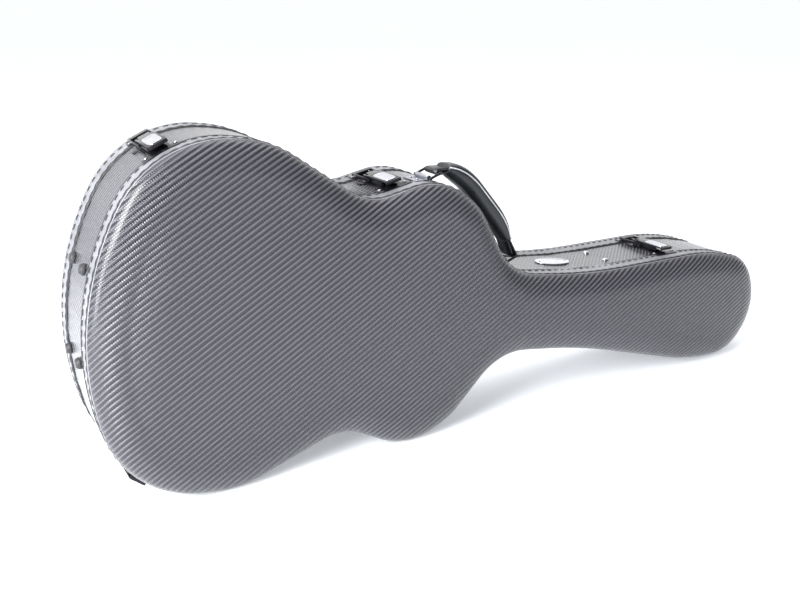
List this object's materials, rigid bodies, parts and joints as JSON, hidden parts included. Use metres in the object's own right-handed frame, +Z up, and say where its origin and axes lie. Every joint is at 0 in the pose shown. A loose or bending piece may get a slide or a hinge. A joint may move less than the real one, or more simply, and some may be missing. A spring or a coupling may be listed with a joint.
{
  "type": "guitar case",
  "caption": "Hard-shell guitar case with a stitched carbon-look shell, hinged lid, draw latches, swinging padded handle and lined interior.",
  "frame": {"origin": "middle of the case's bounding box, on the floor it stands on", "axes": "+X from the lower end to the head, +Y out through the lid, +Z up"},
  "size_m": [1.0712, 0.1771, 0.4298],
  "materials": {
    "shell": "satin carbon-look moulding",
    "band": "satin carbon-look band",
    "binding": "stitched leatherette strip",
    "piping": "black piping",
    "tongue": "matt",
    "plush": "plush",
    "foam": "plush over foam",
    "black_metal": "gloss black",
    "chrome": "bright",
    "steel": "satin",
    "leather": "padded leather",
    "rubber": "hard rubber",
    "plate": "polished blank plate"
  },
  "bodies": {
    "base": {"back_shell": "shell", "side_band": "band", "rear_binding": "binding", "rear_piping": "piping", "seam_tongue": "tongue", "floor_pad": "foam", "neck_floor_pad": "foam", "side_padding": "foam", "neck_cradle": "plush", "accessory_box": "plush", "latch_plate_1": "black_metal", "latch_plate_2": "black_metal", "latch_plate_3": "black_metal", "latch_plate_4": "black_metal", "latch_pins": "steel", "latch_rivets": "steel", "ring_mount_1": "steel", "ring_mount_2": "steel", "mount_rivets": "steel", "nameplate": "plate", "nameplate_rivets": "steel", "strap_studs": "chrome", "base_feet": "rubber", "hinge_leaves_base": "steel", "hinge_pins": "steel", "hinge_screws_base": "steel"},
    "lid": {"lid_shell": "shell", "lid_rim": "band", "lid_binding": "binding", "seam_piping": "piping", "lid_liner": "foam", "keepers": "black_metal", "keeper_rivets": "steel", "hinge_leaves_lid": "steel", "hinge_screws_lid": "steel"},
    "lever_1": {"lever_1": "black_metal"},
    "bail_1": {"bail_1": "black_metal"},
    "lever_2": {"lever_2": "black_metal"},
    "bail_2": {"bail_2": "black_metal"},
    "lever_3": {"lever_3": "black_metal"},
    "bail_3": {"bail_3": "black_metal"},
    "lever_4": {"lever_4": "black_metal"},
    "bail_4": {"bail_4": "black_metal"},
    "ring_1": {"ring_1": "black_metal"},
    "ring_2": {"ring_2": "black_metal"},
    "handle": {"handle_grip": "leather"},
    "accessory_lid": {"accessory_lid": "plush", "accessory_tab": "leather"}
  },
  "joints": [
    {"name": "lid_hinge", "type": "hinge", "parent": "base", "child": "lid", "pos_m": [-0.255, 0.04235, 0.0021], "axis": [-1, 0, 0], "range_deg": [0, 100]},
    {"name": "lever_1_swing", "type": "hinge", "parent": "base", "child": "lever_1", "pos_m": [-0.42539, 0.01635, 0.42162], "axis": [-0.9104, 0, -0.4138], "range_deg": [0, 120]},
    {"name": "bail_1_swing", "type": "hinge", "parent": "lever_1", "child": "bail_1", "pos_m": [-0.42485, 0.00435, 0.42044], "axis": [-0.9104, 0, -0.4138], "range_deg": [-144, 0]},
    {"name": "lever_2_swing", "type": "hinge", "parent": "base", "child": "lever_2", "pos_m": [-0.13486, 0.01635, 0.35037], "axis": [-0.9786, 0, -0.2058], "range_deg": [0, 120]},
    {"name": "bail_2_swing", "type": "hinge", "parent": "lever_2", "child": "bail_2", "pos_m": [-0.13459, 0.00435, 0.3491], "axis": [-0.9786, 0, -0.2058], "range_deg": [-144, 0]},
    {"name": "lever_3_swing", "type": "hinge", "parent": "base", "child": "lever_3", "pos_m": [0.35537, 0.01635, 0.19201], "axis": [-1, 0, 0.0044], "range_deg": [0, 120]},
    {"name": "bail_3_swing", "type": "hinge", "parent": "lever_3", "child": "bail_3", "pos_m": [0.35536, 0.00435, 0.19071], "axis": [-1, 0, 0.0044], "range_deg": [-144, 0]},
    {"name": "lever_4_swing", "type": "hinge", "parent": "base", "child": "lever_4", "pos_m": [-0.48426, 0.01635, 0.03036], "axis": [0.7483, 0, -0.6634], "range_deg": [0, 120]},
    {"name": "bail_4_swing", "type": "hinge", "parent": "lever_4", "child": "bail_4", "pos_m": [-0.4834, 0.00435, 0.03133], "axis": [0.7483, 0, -0.6634], "range_deg": [-144, 0]},
    {"name": "ring_1_swing", "type": "hinge", "parent": "base", "child": "ring_1", "pos_m": [-0.0839, -0.02765, 0.35119], "axis": [0, -1, 0], "range_deg": [0, 50]},
    {"name": "grip_swing", "type": "hinge", "parent": "ring_1", "child": "handle", "pos_m": [-0.06837, -0.02765, 0.35695], "axis": [0, -1, 0], "range_deg": [-50, 0]},
    {"name": "ring_2_swing", "type": "hinge", "parent": "base", "child": "ring_2", "pos_m": [0.04327, -0.02765, 0.22183], "axis": [0, -1, 0], "range_deg": [0, 50]},
    {"name": "accessory_lid_swing", "type": "hinge", "parent": "base", "child": "accessory_lid", "pos_m": [0.17393, -0.00315, 0.16273], "axis": [0.9889, 0, -0.1488], "range_deg": [0, 60]}
  ],
  "couplings": [
    {"joint": "bail_1_swing", "follows": "lever_1_swing", "ratio": -1.2},
    {"joint": "bail_2_swing", "follows": "lever_2_swing", "ratio": -1.2},
    {"joint": "bail_3_swing", "follows": "lever_3_swing", "ratio": -1.2},
    {"joint": "bail_4_swing", "follows": "lever_4_swing", "ratio": -1.2},
    {"joint": "grip_swing", "follows": "ring_1_swing", "ratio": -1},
    {"joint": "ring_2_swing", "follows": "ring_1_swing", "ratio": 1}
  ]
}
